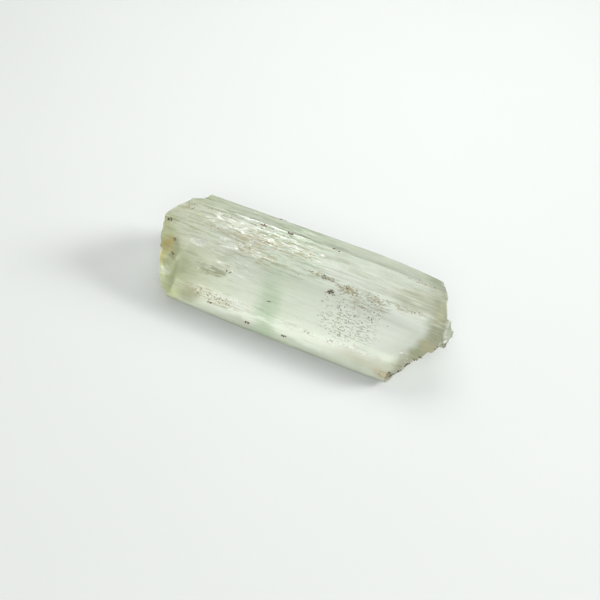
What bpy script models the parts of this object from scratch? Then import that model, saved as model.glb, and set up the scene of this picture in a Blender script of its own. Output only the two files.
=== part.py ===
# A loose hiddenite crystal (green spodumene): one striated prism, broken across at both ends.
#
# Metres, +Z up. X runs along the prism, Y from its front to its back, and Z = 0 is the surface
# that it lies on. The origin is under the middle of the crystal's box.

import math
import random
from collections import namedtuple

import bmesh
import bpy
from mathutils import Matrix, Vector, noise

MM = 0.001

# Driving dimensions
REACH = 15.0 * MM  # from the middle of the prism to the tip of either broken end
TOE_OUT = -4.57 * MM  # where the front toe leaves the surface, in Y

# The prism
Face = namedtuple("Face", "name slope width strips groove")
FACES = (  # going round from the front toe: slope in degrees from +Y, width, strips, their depth
    Face("front_toe", 143.0, 0.97 * MM, 2, 0.015 * MM),
    Face("front_bevel", 75.0, 2.58 * MM, 8, 0.050 * MM),
    Face("front_slope", 40.0, 5.65 * MM, 16, 0.035 * MM),
    Face("crown", 5.0, 2.99 * MM, 12, 0.070 * MM),
    Face("back_slope", -28.0, 2.66 * MM, 6, 0.020 * MM),
    Face("back_bevel", -77.0, 1.70 * MM, 5, 0.050 * MM),
    Face("back_wall", -107.5, 3.05 * MM, 9, 0.060 * MM),
)
BACK_TOE_SLOPE = -137.0  # the last face, which runs down to the surface
BACK_TOE_STRIPS = 5
BACK_TOE_GROOVE = 0.040 * MM
STRIP_LEAST = 0.55  # how uneven the strips of a face are in width
STRIP_MOST = 1.45
GROOVE_LEAST = 0.5  # the shallowest strip's share of its face's groove
STRIP_STRENGTH = 0.55  # a strip's usual share of its own depth along the prism
STRIP_SWING = 0.9  # and how far that swells and fades
PROFILE_SEED = 7
BASE_GROOVES = 4  # narrow grooves in the flat that it rests on
BASE_GROOVE_WIDTH = 0.22 * MM
BASE_GROOVE_DEPTH = 0.10 * MM
BASE_GROOVE_STRAY = 0.25  # how far a groove lies from its even place, as a share of the pitch
STATIONS = 19  # sections along the prism
STATION_OVERRUN = 1.5 * MM  # the prism runs this far past each break before it is cut
FADE_LENGTH = 6.0 * MM  # over which a strip swells and fades along the prism
PHASES = 90.0  # the range of the strips' places in the noise
END_TAPER = 0.30 * MM  # how far the front and the underside's edges draw in at the ends
BACK_TAPER_FROM = 4.5 * MM  # past this the faces that look back draw in instead
BACK_TAPER = 0.90 * MM
LOOKS_BACK = 0.3  # the least Y of such a face's normal

# The breaks. Spodumene splits along two planes 87 degrees apart, so both ends are terraces
# whose edges follow those planes.
CLEAVAGE_ANGLE = 87.0
CLEAVAGE_TURN = 40.0  # of the first plane, from +Y
TERRACE_LEAST = 0.35 * MM
TERRACE_MOST = 0.95 * MM
TERRACE_JOIN = 0.34  # the chance that a terrace runs on from its neighbour
TERRACE_FOLLOW = 0.7  # how much of the break's own slope a terrace takes up
TERRACE_STEP = 0.20 * MM  # how far neighbouring terraces stand apart
TERRACE_TILT = 0.14  # rise over run
RISER = 0.03 * MM  # half the width that a riser takes
BREAK_SPAN = 8.0 * MM  # half the side of the stepped sheet, which reaches past the prism
BREAK_DEPTH = 9.0 * MM  # thickness of a cutter behind its break
BREAK_MIDDLE = Vector((0.0, 0.33 * MM, 3.4 * MM))  # where the two sets of lines are centred

Plane = namedtuple("Plane", "reach per_y per_z")  # X where Y and Z are 0, and its slopes
Break = namedtuple("Break", "side least planes seed")  # the lowest plane counts, above the least
LEFT_BREAK = Break(-1, 13.1 * MM, (Plane(12.55 * MM, 0.0, 0.46), Plane(15.65 * MM, -0.75, 0.0)), 334)
RIGHT_BREAK = Break(
    1,
    11.0 * MM,
    (Plane(11.42 * MM, 0.30, 0.80), Plane(14.50 * MM, 0.0, 0.0), Plane(14.50 * MM, -0.52, 0.0)),
    288,
)
TIP_LEDGE = (-0.90 * MM, 4.30 * MM)  # Y and Z of the ledge that stands out of the right break
TIP_LEDGE_RADIUS = 1.10 * MM
TIP_LEDGE_RISE = 0.45 * MM

# Pits and nicks: share is the way across the face from its first edge, and turn is in degrees
Pit = namedtuple("Pit", "face x share length width depth turn")
ETCH_PITS = (
    Pit("crown", -8.3 * MM, 0.70, 2.6 * MM, 0.34 * MM, 0.10 * MM, 0),
    Pit("crown", -3.4 * MM, 0.28, 3.4 * MM, 0.30 * MM, 0.11 * MM, 0),
    Pit("crown", 1.6 * MM, 0.62, 2.1 * MM, 0.26 * MM, 0.08 * MM, 0),
    Pit("crown", 7.2 * MM, 0.35, 4.2 * MM, 0.24 * MM, 0.07 * MM, 0),
    Pit("front_slope", 2.9 * MM, 0.95, 2.2 * MM, 0.30 * MM, 0.12 * MM, 2),
    Pit("front_slope", 6.6 * MM, 0.90, 1.7 * MM, 0.26 * MM, 0.10 * MM, -2),
    Pit("front_slope", 1.1 * MM, 0.16, 1.1 * MM, 0.30 * MM, 0.10 * MM, -24),
    Pit("front_slope", -2.6 * MM, 0.06, 2.8 * MM, 0.24 * MM, 0.09 * MM, 0),
    Pit("front_slope", 8.2 * MM, 0.05, 2.1 * MM, 0.30 * MM, 0.11 * MM, 0),
    Pit("front_bevel", -7.2 * MM, 0.72, 3.4 * MM, 0.32 * MM, 0.10 * MM, 0),
    Pit("front_bevel", 3.4 * MM, 0.55, 2.6 * MM, 0.28 * MM, 0.09 * MM, 0),
    Pit("back_slope", -1.5 * MM, 0.05, 5.0 * MM, 0.26 * MM, 0.09 * MM, 0),
    Pit("back_slope", 8.4 * MM, 0.10, 4.6 * MM, 0.26 * MM, 0.09 * MM, 0),
    Pit("back_wall", -5.8 * MM, 0.40, 4.4 * MM, 0.40 * MM, 0.12 * MM, 0),
    Pit("back_wall", 3.1 * MM, 0.65, 3.2 * MM, 0.36 * MM, 0.12 * MM, 0),
)
CLEAVAGE_PIT = Pit("front_slope", -8.45 * MM, 0.39, 2.9 * MM, 0.95 * MM, 0.14 * MM, 0)
CLEAVAGE_PIT_ENDS = {-1: 0.12, 1: -0.64}  # how its left and right ends lean, run over rise
END_CRACK = Pit("crown", -14.0 * MM, 0.10, 3.6 * MM, 0.22 * MM, 0.42 * MM, 4)
CHIPS = (  # nicks in the rims of the breaks
    Pit("crown", -14.2 * MM, 0.62, 1.5 * MM, 1.0 * MM, 0.40 * MM, 30),
    Pit("back_slope", -13.2 * MM, 0.45, 1.3 * MM, 1.1 * MM, 0.35 * MM, -25),
    Pit("front_slope", -14.6 * MM, 0.42, 1.0 * MM, 0.9 * MM, 0.34 * MM, 20),
    Pit("front_bevel", -13.6 * MM, 0.25, 1.1 * MM, 0.9 * MM, 0.30 * MM, 10),
    Pit("front_bevel", 11.5 * MM, 0.45, 1.1 * MM, 0.7 * MM, 0.30 * MM, 40),
    Pit("front_slope", 13.2 * MM, 0.12, 0.9 * MM, 0.7 * MM, 0.28 * MM, -30),
    Pit("back_slope", 12.4 * MM, 0.75, 1.4 * MM, 1.2 * MM, 0.36 * MM, 20),
)

CRYSTAL_COLOUR = (0.73, 0.82, 0.66, 1.0)
CRYSTAL_ROUGHNESS = 0.18
CRYSTAL_IOR = 1.665
CRYSTAL_TRANSMISSION = 0.85

Point = namedtuple("Point", "place normal depth phase")


def direction(degrees):
    """A unit vector in the section, turned from +Y towards +Z."""
    return Vector((0.0, math.cos(math.radians(degrees)), math.sin(math.radians(degrees))))


def outward(degrees):
    """The outward normal of a face that runs in that direction, going round front, top, back."""
    return direction(degrees + 90.0)


def face_starts():
    """Where each face starts, by name, with the end of the last one under "back_toe"."""
    corner = Vector((0.0, TOE_OUT, 0.0))
    starts = {}
    for face in FACES:
        starts[face.name] = corner.copy()
        corner += direction(face.slope) * face.width
    starts["back_toe"] = corner
    return starts


def striated(start, slope, width, strips, groove, rng):
    """Points along a face whose strips stand alternately proud and low, of uneven width."""
    shares = [0.0]
    for _ in range(strips):
        shares.append(shares[-1] + rng.uniform(STRIP_LEAST, STRIP_MOST))
    points = []
    for index, share in enumerate(shares[:-1]):
        place = start + direction(slope) * (width * share / shares[-1])
        depth = 0.0 if index == 0 else groove * (index % 2) * rng.uniform(GROOVE_LEAST, 1.0)
        points.append(Point(place, outward(slope), depth, rng.uniform(0.0, PHASES)))
    return points


def base_points(start_y, end_y, rng):
    """The flat underside, from back to front, with narrow grooves that leave the lands on Z = 0."""
    points = [Point(Vector((0.0, start_y, 0.0)), Vector((0.0, 0.0, -1.0)), 0.0, 0.0)]
    pitch = (end_y - start_y) / (BASE_GROOVES + 1)
    for index in range(1, BASE_GROOVES + 1):
        middle = start_y + pitch * (index + rng.uniform(-BASE_GROOVE_STRAY, BASE_GROOVE_STRAY))
        phase = rng.uniform(0.0, PHASES)
        for offset, depth in ((-0.5, 0.0), (0.0, BASE_GROOVE_DEPTH), (0.5, 0.0)):
            place = Vector((0.0, middle - offset * BASE_GROOVE_WIDTH, 0.0))
            points.append(Point(place, Vector((0.0, 0.0, -1.0)), depth, phase))
    return points


def profile():
    """The section's points, once round the prism."""
    rng = random.Random(PROFILE_SEED)
    starts = face_starts()
    points = []
    for face in FACES:
        points += striated(starts[face.name], face.slope, face.width, face.strips, face.groove, rng)
    toe = starts["back_toe"]
    toe_width = -toe.z / direction(BACK_TOE_SLOPE).z
    points += striated(
        toe, BACK_TOE_SLOPE, toe_width, BACK_TOE_STRIPS, BACK_TOE_GROOVE, rng
    )
    back_edge = toe + direction(BACK_TOE_SLOPE) * toe_width
    points += base_points(back_edge.y, TOE_OUT, rng)
    return points


def drawn_in(point, x):
    """How far the prism's side lies inside the profile at X, besides its strips."""
    if point.normal.y <= LOOKS_BACK:
        return END_TAPER * min(1.0, abs(x) / REACH) ** 3
    past = max(0.0, (x - BACK_TAPER_FROM) / (REACH - BACK_TAPER_FROM))
    return BACK_TAPER * past**2


def section_place(point, x):
    """Where a point of the profile lies in the section at X."""
    along = Vector((x / FADE_LENGTH, point.phase, 0.0))
    strength = min(1.0, max(0.0, STRIP_STRENGTH + STRIP_SWING * noise.noise(along)))
    inwards = point.depth * strength
    if point.place.z > 0.0:
        inwards += drawn_in(point, x)
    place = point.place - point.normal * inwards
    return Vector((x, place.y, max(0.0, place.z)))


def new_object(name, bm, collection):
    mesh = bpy.data.meshes.new(name)
    bmesh.ops.recalc_face_normals(bm, faces=bm.faces)
    bm.to_mesh(mesh)
    bm.free()
    made = bpy.data.objects.new(name, mesh)
    collection.objects.link(made)
    return made


def build_prism(collection):
    """The uncut prism, lofted through its sections."""
    points = profile()
    run = REACH + STATION_OVERRUN
    stations = [run * (2.0 * i / (STATIONS - 1) - 1.0) for i in range(STATIONS)]
    bm = bmesh.new()
    rings = [[bm.verts.new(section_place(point, x)) for point in points] for x in stations]
    for ring, following in zip(rings, rings[1:]):
        for here in range(len(points)):
            there = (here + 1) % len(points)
            bm.faces.new((ring[here], ring[there], following[there], following[here]))
    bm.faces.new(rings[0])
    bm.faces.new(rings[-1])
    bmesh.ops.triangulate(bm, faces=bm.faces)
    return new_object("hiddenite_crystal", bm, collection)


def terrace_lines(rng):
    """Lines across the stepped sheet, in pairs that a riser's width parts."""
    lines = [-BREAK_SPAN]
    edge = -BREAK_SPAN
    while edge < BREAK_SPAN - TERRACE_MOST:
        edge += rng.uniform(TERRACE_LEAST, TERRACE_MOST)
        lines += [edge - RISER, edge + RISER]
    return lines + [BREAK_SPAN]


def break_reach(end, y, z):
    """How far the crystal reaches towards that end, at Y and Z, before the terraces."""
    reach = max(end.least, min(p.reach + p.per_y * y + p.per_z * z for p in end.planes))
    from_ledge = math.hypot(y - TIP_LEDGE[0], z - TIP_LEDGE[1])
    if end is RIGHT_BREAK and from_ledge < TIP_LEDGE_RADIUS:
        reach += TIP_LEDGE_RISE
    return reach


def sheet_place(u, v):
    """A place across the prism, from distances along the two cleavage directions."""
    across = direction(CLEAVAGE_TURN) * u + direction(CLEAVAGE_TURN + CLEAVAGE_ANGLE) * v
    return BREAK_MIDDLE + across


def terrace_table(end, us, vs, rng):
    """The plane that each terrace lies in: a place on it, its reach there and its two tilts."""
    table = {}
    for i in range(len(us) // 2):
        for j in range(len(vs) // 2):
            if i and rng.random() < TERRACE_JOIN:
                table[i, j] = table[i - 1, j]
            elif j and rng.random() < TERRACE_JOIN:
                table[i, j] = table[i, j - 1]
            else:
                anchor = sheet_place(us[2 * i], vs[2 * j])
                reach = break_reach(end, anchor.y, anchor.z)
                reach += rng.uniform(-1.0, 1.0) * TERRACE_STEP
                tilts = [rng.uniform(-1.0, 1.0) * TERRACE_TILT for _ in "yz"]
                table[i, j] = (anchor, reach, tilts)
    return table


def break_sheet(end):
    """Rows of points over a break, whose terraces follow its planes in steps."""
    rng = random.Random(end.seed)
    us, vs = terrace_lines(rng), terrace_lines(rng)
    table = terrace_table(end, us, vs, rng)
    rows = []
    for i, u in enumerate(us):
        row = []
        for j, v in enumerate(vs):
            anchor, reach, tilts = table[i // 2, j // 2]
            place = sheet_place(u, v)
            away = place - anchor
            own = break_reach(end, place.y, place.z) - break_reach(end, anchor.y, anchor.z)
            reach += TERRACE_FOLLOW * own + tilts[0] * away.y + tilts[1] * away.z
            row.append(Vector((end.side * reach, place.y, place.z)))
        rows.append(row)
    return rows


def break_block(name, end, collection):
    """A block that lies outside a break, its inner face the sheet of terraces."""
    rows = break_sheet(end)
    bm = bmesh.new()
    bmesh.ops.create_grid(bm, x_segments=len(rows) - 1, y_segments=len(rows[0]) - 1, size=1.0)
    for vert in bm.verts:
        i = round((vert.co.x + 1.0) / 2.0 * (len(rows) - 1))
        j = round((vert.co.y + 1.0) / 2.0 * (len(rows[0]) - 1))
        vert.co = rows[i][j]
    outer = bmesh.ops.extrude_face_region(bm, geom=bm.faces[:])["geom"]
    for vert in (item for item in outer if isinstance(item, bmesh.types.BMVert)):
        vert.co.x = end.side * (REACH + BREAK_DEPTH)
    return new_object(name, bm, collection)


def face_frame(pit):
    """The matrix that lays a cutter on a face: its X along the prism, Y up the face, Z outwards."""
    face = next(face for face in FACES if face.name == pit.face)
    start = face_starts()[face.name]
    up, out = direction(face.slope), outward(face.slope)
    place = start + up * (face.width * pit.share)
    axes = Matrix((Vector((1.0, 0.0, 0.0)), up, out)).transposed().to_4x4()
    turn = Matrix.Rotation(math.radians(pit.turn), 4, "Z")
    return Matrix.Translation(Vector((pit.x, place.y, place.z))) @ axes @ turn


def lens_cutter(name, pit, collection):
    """A lens with flat facets, for an etch pit or a nick."""
    bm = bmesh.new()
    bmesh.ops.create_icosphere(bm, subdivisions=1, radius=1.0)
    bmesh.ops.scale(bm, vec=(pit.length / 2.0, pit.width / 2.0, pit.depth), verts=bm.verts)
    bmesh.ops.transform(bm, matrix=face_frame(pit), verts=bm.verts)
    return new_object(name, bm, collection)


def cleavage_pit_cutter(name, pit, collection):
    """A flat-bottomed pit with slanted ends, where a sliver has split away."""
    bm = bmesh.new()
    bmesh.ops.create_cube(bm, size=1.0)
    bmesh.ops.scale(bm, vec=(pit.length, pit.width, 2.0 * pit.depth), verts=bm.verts)
    for vert in bm.verts:
        vert.co.x += CLEAVAGE_PIT_ENDS[1 if vert.co.x > 0.0 else -1] * vert.co.y
    bmesh.ops.transform(bm, matrix=face_frame(pit), verts=bm.verts)
    return new_object(name, bm, collection)


def cut_away(crystal, cutters):
    """Takes every cutter out of the crystal and makes the result a plain mesh."""
    for cutter in cutters:
        cutter.hide_render = True
        cutter.display_type = "WIRE"
        boolean = crystal.modifiers.new(cutter.name, "BOOLEAN")
        boolean.operation = "DIFFERENCE"
        boolean.solver = "EXACT"
        boolean.object = cutter
    bpy.context.view_layer.update()
    graph = bpy.context.evaluated_depsgraph_get()
    crystal.data = bpy.data.meshes.new_from_object(crystal.evaluated_get(graph))
    crystal.modifiers.clear()


def centre_on_base(crystal):
    """Puts the origin under the middle of the crystal's box, on the surface."""
    corners = [vert.co for vert in crystal.data.vertices]
    middle = [(min(c[k] for c in corners) + max(c[k] for c in corners)) / 2.0 for k in (0, 1)]
    base = min(c.z for c in corners)
    crystal.data.transform(Matrix.Translation((-middle[0], -middle[1], -base)))


def crystal_material():
    material = bpy.data.materials.new("pale_green_spodumene")
    material.use_nodes = True
    shader = material.node_tree.nodes["Principled BSDF"]
    shader.inputs["Base Color"].default_value = CRYSTAL_COLOUR
    shader.inputs["Roughness"].default_value = CRYSTAL_ROUGHNESS
    shader.inputs["Metallic"].default_value = 0.0
    shader.inputs["IOR"].default_value = CRYSTAL_IOR
    shader.inputs["Transmission Weight"].default_value = CRYSTAL_TRANSMISSION
    return material


def new_collection(name):
    collection = bpy.data.collections.new(name)
    bpy.context.scene.collection.children.link(collection)
    return collection


def main():
    for old in list(bpy.data.objects):
        bpy.data.objects.remove(old, do_unlink=True)
    parts = new_collection("hiddenite")
    tools = new_collection("cutters")
    crystal = build_prism(parts)
    cutters = [
        break_block("left_break", LEFT_BREAK, tools),
        break_block("right_break", RIGHT_BREAK, tools),
        cleavage_pit_cutter("cleavage_pit", CLEAVAGE_PIT, tools),
        lens_cutter("end_crack", END_CRACK, tools),
    ]
    cutters += [lens_cutter(f"etch_pit_{n}", pit, tools) for n, pit in enumerate(ETCH_PITS)]
    cutters += [lens_cutter(f"chip_{n}", chip, tools) for n, chip in enumerate(CHIPS)]
    cut_away(crystal, cutters)
    centre_on_base(crystal)
    crystal.data.materials.clear()
    crystal.data.materials.append(crystal_material())


main()
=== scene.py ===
import math
import random

import bmesh
import bpy
from mathutils import Matrix, Vector


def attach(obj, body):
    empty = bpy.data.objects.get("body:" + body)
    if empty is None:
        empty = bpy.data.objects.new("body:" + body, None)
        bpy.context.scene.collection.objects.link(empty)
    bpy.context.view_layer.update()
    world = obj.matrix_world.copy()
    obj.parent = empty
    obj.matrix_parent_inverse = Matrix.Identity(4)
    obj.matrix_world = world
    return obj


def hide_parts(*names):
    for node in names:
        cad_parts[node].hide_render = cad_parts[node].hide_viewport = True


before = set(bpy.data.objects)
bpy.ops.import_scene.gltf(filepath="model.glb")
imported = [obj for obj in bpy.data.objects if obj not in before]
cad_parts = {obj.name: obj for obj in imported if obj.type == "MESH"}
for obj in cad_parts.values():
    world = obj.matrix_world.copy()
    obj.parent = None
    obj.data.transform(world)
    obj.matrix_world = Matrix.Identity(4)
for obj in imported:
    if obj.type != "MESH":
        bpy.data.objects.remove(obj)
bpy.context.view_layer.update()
mm = 0.001
crystalNode = "hiddenite_crystal"
centring = Vector((0.079, -0.008, 0.0))  # from the section's own origin to the frame's
smoothAngle = 28.0  # sharper edges of the crystal stay sharp
breakNormal = 0.25  # faces that look further along X are of a break, and stay flat


# Node helpers

def feed(tree, socket, value):
    if isinstance(value, bpy.types.NodeSocket):
        tree.links.new(value, socket)
    else:
        socket.default_value = (*value, 1.0) if socket.type == "RGBA" else value


def feedAll(tree, node, inputs):
    for name, value in inputs.items():
        feed(tree, node.inputs[name], value)


def addNode(tree, kind, inputs=None, **settings):
    node = tree.nodes.new(kind)
    for name, value in settings.items():
        setattr(node, name, value)
    feedAll(tree, node, inputs or {})
    return node


def made(tree, kind, inputs=None, **settings):
    return addNode(tree, kind, inputs, **settings).outputs[0]


def maths(tree, operation, *values):
    return made(tree, "ShaderNodeMath", dict(enumerate(values)), operation=operation)


def product(tree, first, *others):
    for other in others:
        first = maths(tree, "MULTIPLY", first, other)
    return first


def vectorMaths(tree, operation, *values):
    node = addNode(tree, "ShaderNodeVectorMath", dict(enumerate(values)), operation=operation)
    return node.outputs["Value" if operation in ("DOT_PRODUCT", "LENGTH") else "Vector"]


def scaled(tree, vector, factor):
    inputs = {0: vector, "Scale": factor}
    return made(tree, "ShaderNodeVectorMath", inputs, operation="SCALE")


def combine(tree, x, y, z):
    return made(tree, "ShaderNodeCombineXYZ", {"X": x, "Y": y, "Z": z})


def separate(tree, vector):
    return addNode(tree, "ShaderNodeSeparateXYZ", {"Vector": vector}).outputs


def remap(tree, value, low, high, toLow=0.0, toHigh=1.0):
    inputs = {"Value": value, "From Min": low, "From Max": high, "To Min": toLow, "To Max": toHigh}
    return addNode(tree, "ShaderNodeMapRange", inputs, interpolation_type="SMOOTHSTEP").outputs["Result"]


def noiseOf(tree, vector, scale=1.0, detail=2.0, roughness=0.5):
    inputs = {"Vector": vector, "Scale": scale, "Detail": detail, "Roughness": roughness}
    return made(tree, "ShaderNodeTexNoise", inputs)


def mixColours(tree, factor, first, second, blend="MIX"):
    inputs = {0: factor, 6: first, 7: second}
    return addNode(tree, "ShaderNodeMix", inputs, data_type="RGBA", blend_type=blend).outputs[2]


def randomValue(tree, least, most, seed):
    inputs = {2: least, 3: most, "Seed": seed}
    return addNode(tree, "FunctionNodeRandomValue", inputs, data_type="FLOAT").outputs[1]


def mixValues(tree, factor, first, second):
    inputs = {0: factor, 2: first, 3: second}
    return made(tree, "ShaderNodeMix", inputs, data_type="FLOAT")


def ellipsoid(tree, place, centre, reach, softness):
    away = vectorMaths(tree, "DIVIDE", vectorMaths(tree, "SUBTRACT", place, centre), reach)
    return remap(tree, vectorMaths(tree, "LENGTH", away), 1.0, 1.0 - softness)


def jitter(tree, place, scale, detail, reach):
    noise = addNode(tree, "ShaderNodeTexNoise", {"Vector": place, "Scale": scale, "Detail": detail})
    centred = vectorMaths(tree, "SUBTRACT", noise.outputs["Color"], (0.5, 0.5, 0.5))
    return scaled(tree, centred, reach)


def newGroup(name, kind, inputs, outputs):
    tree = bpy.data.node_groups.new(name, kind)
    for way, sockets in (("INPUT", inputs), ("OUTPUT", outputs)):
        for label, value in sockets:
            tree.interface.new_socket(label, in_out=way, socket_type=f"NodeSocket{value}")
    return tree, addNode(tree, "NodeGroupInput").outputs


def geometryTree(name, inputs):
    geometry = ("Geometry", "Geometry")
    return newGroup(name, "GeometryNodeTree", (geometry, *inputs), (geometry,))


def finishTree(tree, geometry, material):
    realized = made(tree, "GeometryNodeRealizeInstances", {"Geometry": geometry})
    dressed = made(tree, "GeometryNodeSetMaterial", {"Geometry": realized, "Material": material})
    addNode(tree, "NodeGroupOutput", {"Geometry": dressed})


def runTree(thing, tree, values):
    modifier = thing.modifiers.new(tree.name, "NODES")
    modifier.node_group = tree
    for item in tree.interface.items_tree:
        if item.in_out == "INPUT" and item.name in values:
            modifier[item.identifier] = values[item.name]


def settle(thing):
    bpy.context.view_layer.update()
    evaluated = thing.evaluated_get(bpy.context.evaluated_depsgraph_get())
    mesh = bpy.data.meshes.new_from_object(evaluated)
    thing.modifiers.clear()
    thing.data = mesh


def newThing(name, mesh):
    thing = bpy.data.objects.new(name, mesh)
    bpy.context.scene.collection.objects.link(thing)
    return thing


def meshFrom(name, bm):
    mesh = bpy.data.meshes.new(name)
    bm.to_mesh(mesh)
    bm.free()
    return mesh


def toFrame(thing, smooth=False):
    mesh = thing.data
    mesh.transform(Matrix.Scale(mm, 4) @ Matrix.Translation(centring))
    for polygon in mesh.polygons:
        polygon.use_smooth = smooth and abs(polygon.normal.x) < breakNormal
    if smooth:
        mesh.set_sharp_from_angle(angle=math.radians(smoothAngle))


# The prism's section, in millimetres and degrees

section = {
    "toeOut": -4.57,  # where the front toe leaves the sheet
    "faces": (  # name, slope from +Y, width, strength of the striations, tapers to both ends and to +X
        ("frontToe", 143.0, 0.97, 0.3, 0.30, 0.0),
        ("frontBevel", 75.0, 2.58, 0.4, 0.30, 0.0),
        ("frontSlope", 40.0, 5.65, 0.16, 0.30, 0.0),
        ("crown", 5.0, 2.99, 1.0, 0.30, 0.0),
        ("backSlope", -28.0, 2.66, 0.22, 0.0, 0.50),
        ("backBevel", -77.0, 1.70, 0.5, 0.0, 1.05),
        ("backWall", -107.5, 3.05, 0.6, 0.0, 1.05),
    ),
    "backToe": (-137.0, 0.4, 0.0, 0.90),  # the same without name and width
    "base": (180.0, 0.2, 0.0, 0.0),
    "cornerWear": 0.04,
    "grooveStart": 0.20,  # the striations leave the corners whole by this much
}


def direction(degrees):
    return Vector((0.0, math.cos(math.radians(degrees)), math.sin(math.radians(degrees))))


def faceStarts():
    corner = Vector((0.0, section["toeOut"], 0.0))
    starts = {}
    for face in section["faces"]:
        starts[face[0]] = corner.copy()
        corner += direction(face[1]) * face[2]
    starts["backToe"] = corner
    return starts


def shiftedCorner(before, after, taperBefore, taperAfter):
    first, second = direction(before + 90.0), direction(after + 90.0)
    spread = first.y * second.z - first.z * second.y
    y = (-taperBefore * second.z + taperAfter * first.z) / spread
    z = (-first.y * taperAfter + second.y * taperBefore) / spread
    return Vector((0.0, y, z))


def sectionSides():
    starts = faceStarts()
    toe = starts["backToe"]
    downwards = direction(section["backToe"][0])
    backEdge = toe - downwards * (toe.z / downwards.z)
    corners = [starts[face[0]] for face in section["faces"]] + [toe, backEdge]
    faces = [(face[1], *face[3:]) for face in section["faces"]]
    faces += [section["backToe"], section["base"]]
    shifts = []
    for before, after in zip(faces[-1:] + faces[:-1], faces):
        shifts.append([shiftedCorner(before[0], after[0], before[k], after[k]) for k in (2, 3)])
    return corners, faces, shifts


def sectionOutline():
    corners, faces, shifts = sectionSides()
    points = []
    for k, face in enumerate(faces):
        here, there = corners[k], corners[(k + 1) % len(corners)]
        along = (there - here).normalized()
        ends = (here, along, shifts[k]), (there, -along, shifts[(k + 1) % len(corners)])
        for order, (corner, way, moves) in enumerate(ends):
            pair = [
                (corner + way * section["cornerWear"], 0.0, moves),
                (corner + way * section["grooveStart"], face[1], moves),
            ]
            points += pair if order == 0 else pair[::-1]
    points.reverse()
    count = len(points)
    mesh = bpy.data.meshes.new("section")
    edges = [(i, (i + 1) % count) for i in range(count)]
    mesh.from_pydata([point[0] for point in points], edges, [])
    attribute = mesh.attributes.new("grooving", "FLOAT", "POINT")
    attribute.data.foreach_set("value", [point[1] for point in points])
    for k, name in enumerate(("endShift", "backShift")):
        attribute = mesh.attributes.new(name, "FLOAT_VECTOR", "POINT")
        attribute.data.foreach_set("vector", [value for point in points for value in point[2][k]])
    return newThing("crystalPrism", mesh)


# The striated prism

striations = {
    "Length": 33.0,
    "Stations": 150,
    "Points Around": 540,
    "Strip Pitch": 0.52,
    "Strip Depth": 0.050,
    "Line Pitch": 0.19,
    "Line Depth": 0.020,
    "Hair Pitch": 0.11,
    "Hair Depth": 0.006,
    "Fade Length": 5.0,
    "Seed": 4.0,
}
grooveKinds = (  # name, stretch lengthwise, unevenness in width, shift of the seed
    ("Strip", 0.5, 2.0, 0.0),
    ("Line", 1.0, 2.5, 20.0),
    ("Hair", 1.6, 2.5, 40.0),
)
unevenScale = 0.45  # of the noise that makes the grooves uneven in width
swellShift = 9.0  # seed shift of the noise that makes them swell and fade
swellEdges = (0.38, 0.62)
normalStep = 0.0006  # share of the way round, over which the outward direction is taken
taperReach = 15.0
taperPower = 3.0
backTaperFrom = 4.5
sectionMiddle = Vector((0.0, 0.33, 3.4))


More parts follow.
